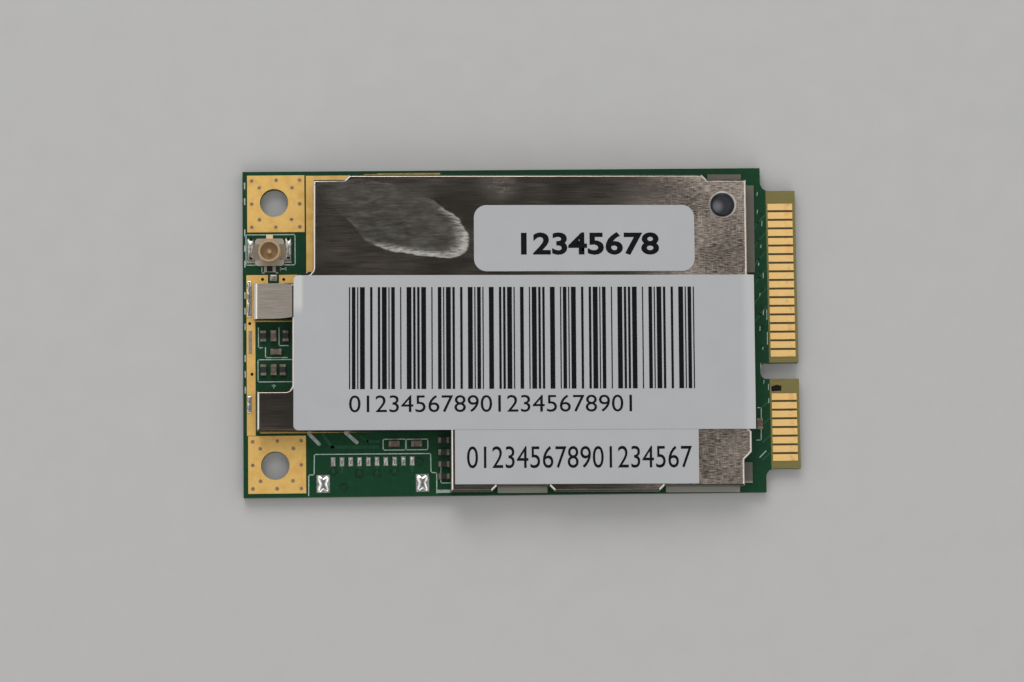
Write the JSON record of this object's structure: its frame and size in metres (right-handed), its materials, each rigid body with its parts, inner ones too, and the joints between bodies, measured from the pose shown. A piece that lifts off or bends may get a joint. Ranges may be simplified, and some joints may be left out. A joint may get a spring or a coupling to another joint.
{
  "type": "laptop tv tuner card",
  "caption": "Full-size mini card TV tuner for a laptop: green circuit board with an edge contact tab, a folded metal shield cover, grey labels and a tiny round antenna socket.",
  "frame": {"origin": "centre of the card's bounding box, on its underside", "axes": "+X runs from the antenna end to the contact tab, +Y across the board towards the antenna socket's long edge, +Z out of the shielded face"},
  "size_m": [0.051, 0.03, 0.0033],
  "materials": {
    "solder_mask": "dark green solder mask over glass-fibre laminate, bare brown laminate at the contact tab",
    "gold_plate": "thin gold plating over copper, satin",
    "tin": "bright tin or solder, slightly uneven",
    "shield_sheet": "brushed nickel-silver sheet with scratches and old glue",
    "frame_sheet": "tinned steel strip",
    "label_paper": "grey matt label stock with black print",
    "black_mould": "black epoxy moulding compound",
    "socket_mould": "dark moulded insulator",
    "capacitor_ceramic": "fired tan ceramic",
    "resistor_ceramic": "black glazed film on white alumina",
    "ferrite": "dark grey pressed ferrite",
    "crystal_can": "plain metal lid"
  },
  "bodies": {
    "root": {"bridge_chip": "black_mould", "bridge_chip_leads": "tin", "bridge_crystal": "crystal_can", "circuit_board": "solder_mask", "coax_base": "socket_mould", "coax_lands": "tin", "coax_pin": "gold_plate", "coax_shell": "gold_plate", "contact_fingers_bottom": "gold_plate", "contact_fingers_top": "gold_plate", "demodulator_chip": "black_mould", "demodulator_chip_terminals": "tin", "footprint_anchors": "tin", "footprint_contacts": "tin", "ground_solder": "tin", "ground_strips": "gold_plate", "inner_capacitor_bodies": "capacitor_ceramic", "inner_capacitor_ends": "tin", "memory_chip": "black_mould", "memory_chip_leads": "tin", "narrow_label": "label_paper", "open_capacitor_bodies": "capacitor_ceramic", "open_capacitor_ends": "tin", "open_resistor_bodies": "resistor_ceramic", "open_resistor_ends": "tin", "power_inductor": "ferrite", "round_label": "label_paper", "screw_lands_bottom": "gold_plate", "screw_lands_top": "gold_plate", "shield_cover": "shield_sheet", "shield_frame": "frame_sheet", "tuner_chip": "black_mould", "tuner_chip_terminals": "tin", "tuner_crystal": "crystal_can", "tuning_coil_bodies": "resistor_ceramic", "tuning_coil_ends": "tin", "voltage_regulators": "black_mould", "wide_label": "label_paper"}
  },
  "joints": []
}
